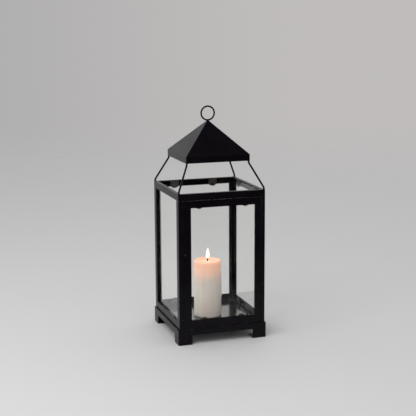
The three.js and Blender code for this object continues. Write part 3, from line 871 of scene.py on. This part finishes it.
def drip_push(angle, z, full_radius, height):
    """How far the runs of wax stand out at an angle and a height."""
    push = 0
    for at, top, length, half_width, proud in DRIPS:
        wander = 0.03 * math.sin(z / height * 23 + at)
        apart = (angle - math.radians(at) - wander + math.pi) % TURN - math.pi
        across = bump_shape(apart, half_width * MM / full_radius)
        head, tail = top * height, (top - length) * height
        above_tail = smoothstep(tail - 1.5 * MM, tail + 2.5 * MM, z)
        below_head = 1 - smoothstep(head - 0.12 * height, head, z)
        bead = 0.7 * bump_shape(z - tail - 2 * MM, 3.2 * MM)
        push += proud * MM * across * min(1.5, above_tail * below_head * 0.55 + bead)
    return push


def candle_shape(full_radius, height):
    """How the wax departs from a plain cylinder: hand-poured waves, drips and a worn foot."""

    def shape(angle, radius, z):
        around = Vector((math.cos(angle), math.sin(angle), 0))
        side = smoothstep(0.80, 0.99, radius / full_radius)
        broad = noise.noise(around * 0.9 + Vector((0, 0, z / height * 1.6 + 3)))
        fine = noise.noise(around * 5.0 + Vector((0, 0, z / height * 16 + 9)))
        push = WAX_WAVE * broad + WAX_RIPPLE * fine - WAX_WAVE
        push += drip_push(angle, z, full_radius, height)
        foot = bump_shape(z, FOOT_WORN_HEIGHT)
        push += foot * FOOT_WEAR * (noise.noise(around * 4 + Vector((7, 0, 0))) - 0.4)
        rim = smoothstep(height - 2.5 * POOL_DEPTH, height, z) * side
        lift = rim * RIM_SAG * (noise.noise(around * 1.5 + Vector((1, 4, 0))) - 0.25)
        return radius + push * side, z + lift

    return shape


def make_candle(wax):
    low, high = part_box("candle")
    centre = Vector(((low.x + high.x) / 2, (low.y + high.y) / 2, low.z))
    radius = (high.x - low.x) / 2
    height = high.z - low.z
    candle = make_lathe("candle_wax", candle_profile(radius, height), CANDLE_SEGMENTS, centre,
                        candle_shape(radius, height))
    set_material(candle, wax)
    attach(candle, "candle")
    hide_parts("candle")


def wick_places():
    """The foot and the tip of the wick."""
    low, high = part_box("wick")
    middle = (low.y + high.y) / 2
    foot = Vector((low.x + WICK_RADIUS, middle, low.z))
    tip = Vector((high.x - WICK_RADIUS, middle, high.z))
    return foot, tip


def make_wick(char):
    """The bent wick, swollen with soot below its middle and thin at its tip."""
    foot, tip = wick_places()
    bend = Vector((foot.x, foot.y, (foot.z + tip.z) / 2))
    points, radii = [], []
    for i in range(WICK_STEPS + 1):
        t = i / WICK_STEPS
        points.append(bend_point(foot, bend, tip, t))
        plain = WICK_RADIUS * (1 - WICK_TAPER * t ** 4) - WICK_SHRUNK
        wear = WICK_WEAR * noise.noise(Vector((t * 9, 0, 2)))
        radii.append(plain + wear + SOOT_SWELL * bump_shape(t - SOOT_PLACE, SOOT_LENGTH))
    wick = make_tube("wick_braid", points, radii, WICK_SIDES)
    set_material(wick, char)
    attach(wick, "candle")
    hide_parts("wick")


# ------------------------------------------------------------------ flame


def flame_width(t):
    """The flame's half width, as a share of its widest, at a share t of its height."""
    if t < FLAME_WIDEST:
        return math.sin(math.pi / 2 * t / FLAME_WIDEST) ** FLAME_BELLY
    up = (t - FLAME_WIDEST) / (1 - FLAME_WIDEST)
    shoulder, point = FLAME_TAPER
    return (1 - up ** shoulder) ** point


def make_flame(name, radius, foot, height, look):
    """A drop of flame that leans a little towards its tip."""
    shares = [i / FLAME_ROWS for i in range(FLAME_ROWS + 1)]
    profile = [(flame_width(t) * radius, t * height) for t in shares]
    flame = make_lathe(name, profile, FLAME_SIDES, foot)
    for vertex in flame.data.vertices:
        t = (vertex.co.z - foot.z) / height
        vertex.co.x += FLAME_LEAN * math.sin(t * FLAME_LEAN_TURN) * t
    set_material(flame, look)
    flame.visible_shadow = False
    flame.visible_diffuse = False
    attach(flame, "candle")
    return flame


def make_flame_light(place, holder):
    """The light that the flame gives. Its own round shape isn't seen, and it moves with holder."""
    data = bpy.data.lights.new("flame_light", "POINT")
    data.energy = FLAME_LIGHT_POWER
    data.color = FLAME_LIGHT_COLOR
    data.shadow_soft_size = FLAME_RADIUS
    light = link(bpy.data.objects.new("flame_light", data))
    light.location = place
    light.visible_camera = False
    light.visible_transmission = False
    bpy.context.view_layer.update()
    stay = light.matrix_world.copy()
    light.parent = holder
    light.matrix_world = stay


def make_flames():
    foot, tip = wick_places()
    base = Vector(((foot.x + tip.x) / 2 - FLAME_SHIFT, foot.y, tip.z - FLAME_FOOT))
    top = base.z + FLAME_HEIGHT
    mantle = flame_material("flame_mantle", base.z, top, *MANTLE)
    core = flame_material("flame_core", base.z + 2 * MM, top - 4 * MM, *CORE)
    outer = make_flame("flame_outer", FLAME_RADIUS, base, FLAME_HEIGHT, mantle)
    core_foot = base + Vector((0, 0, CORE_LIFT))
    make_flame("flame_inner", FLAME_RADIUS * CORE_WIDTH, core_foot, FLAME_HEIGHT * CORE_HEIGHT, core)
    make_flame_light(base + Vector((0, 0, FLAME_HEIGHT * FLAME_LIGHT_HEIGHT)), outer)


# ------------------------------------------------------------------ the whole scene


def make_materials():
    """The main finish of each slot, and the one its rounded edges take."""
    low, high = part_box("candle")
    wick_low, wick_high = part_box("wick")
    coat_edge = coat_material("black_coat_edge", BLACK_RUBBED, EDGE_ROUGHNESS)
    clip_edge = steel_material("clip_steel_rubbed", *CLIP_STEEL_RUBBED)
    return {
        "black_coat": (coat_material("black_coat_satin", BLACK, COAT_ROUGHNESS), coat_edge),
        "gloss_coat": (gloss_material("gloss_coat_enamel"), coat_edge),
        "glass": (glass_material("glass_clear"), None),
        "clip_steel": (steel_material("clip_steel_coated", *CLIP_STEEL), clip_edge),
        "pin_steel": (steel_material("pin_steel_drawn", *PIN_STEEL), None),
        "wax": (wax_material("wax_ivory", low.z, high.z, wick_places()[0]), None),
        "wick": (wick_material("wick_char", wick_low.z, wick_high.z), None),
    }


bpy.context.scene.view_settings.view_transform = "Standard"
make_camera()
make_world()
make_floor()
make_key()

MATERIALS = make_materials()
finish_cad_nodes(MATERIALS)
for corner, signs in {"back_right": (1, 1), "back_left": (-1, 1),
                      "front_left": (-1, -1), "front_right": (1, -1)}.items():
    make_rod(corner, *signs, MATERIALS["black_coat"][0])
make_ring(MATERIALS["black_coat"][0])
make_candle(MATERIALS["wax"][0])
make_wick(MATERIALS["wick"][0])
make_flames()
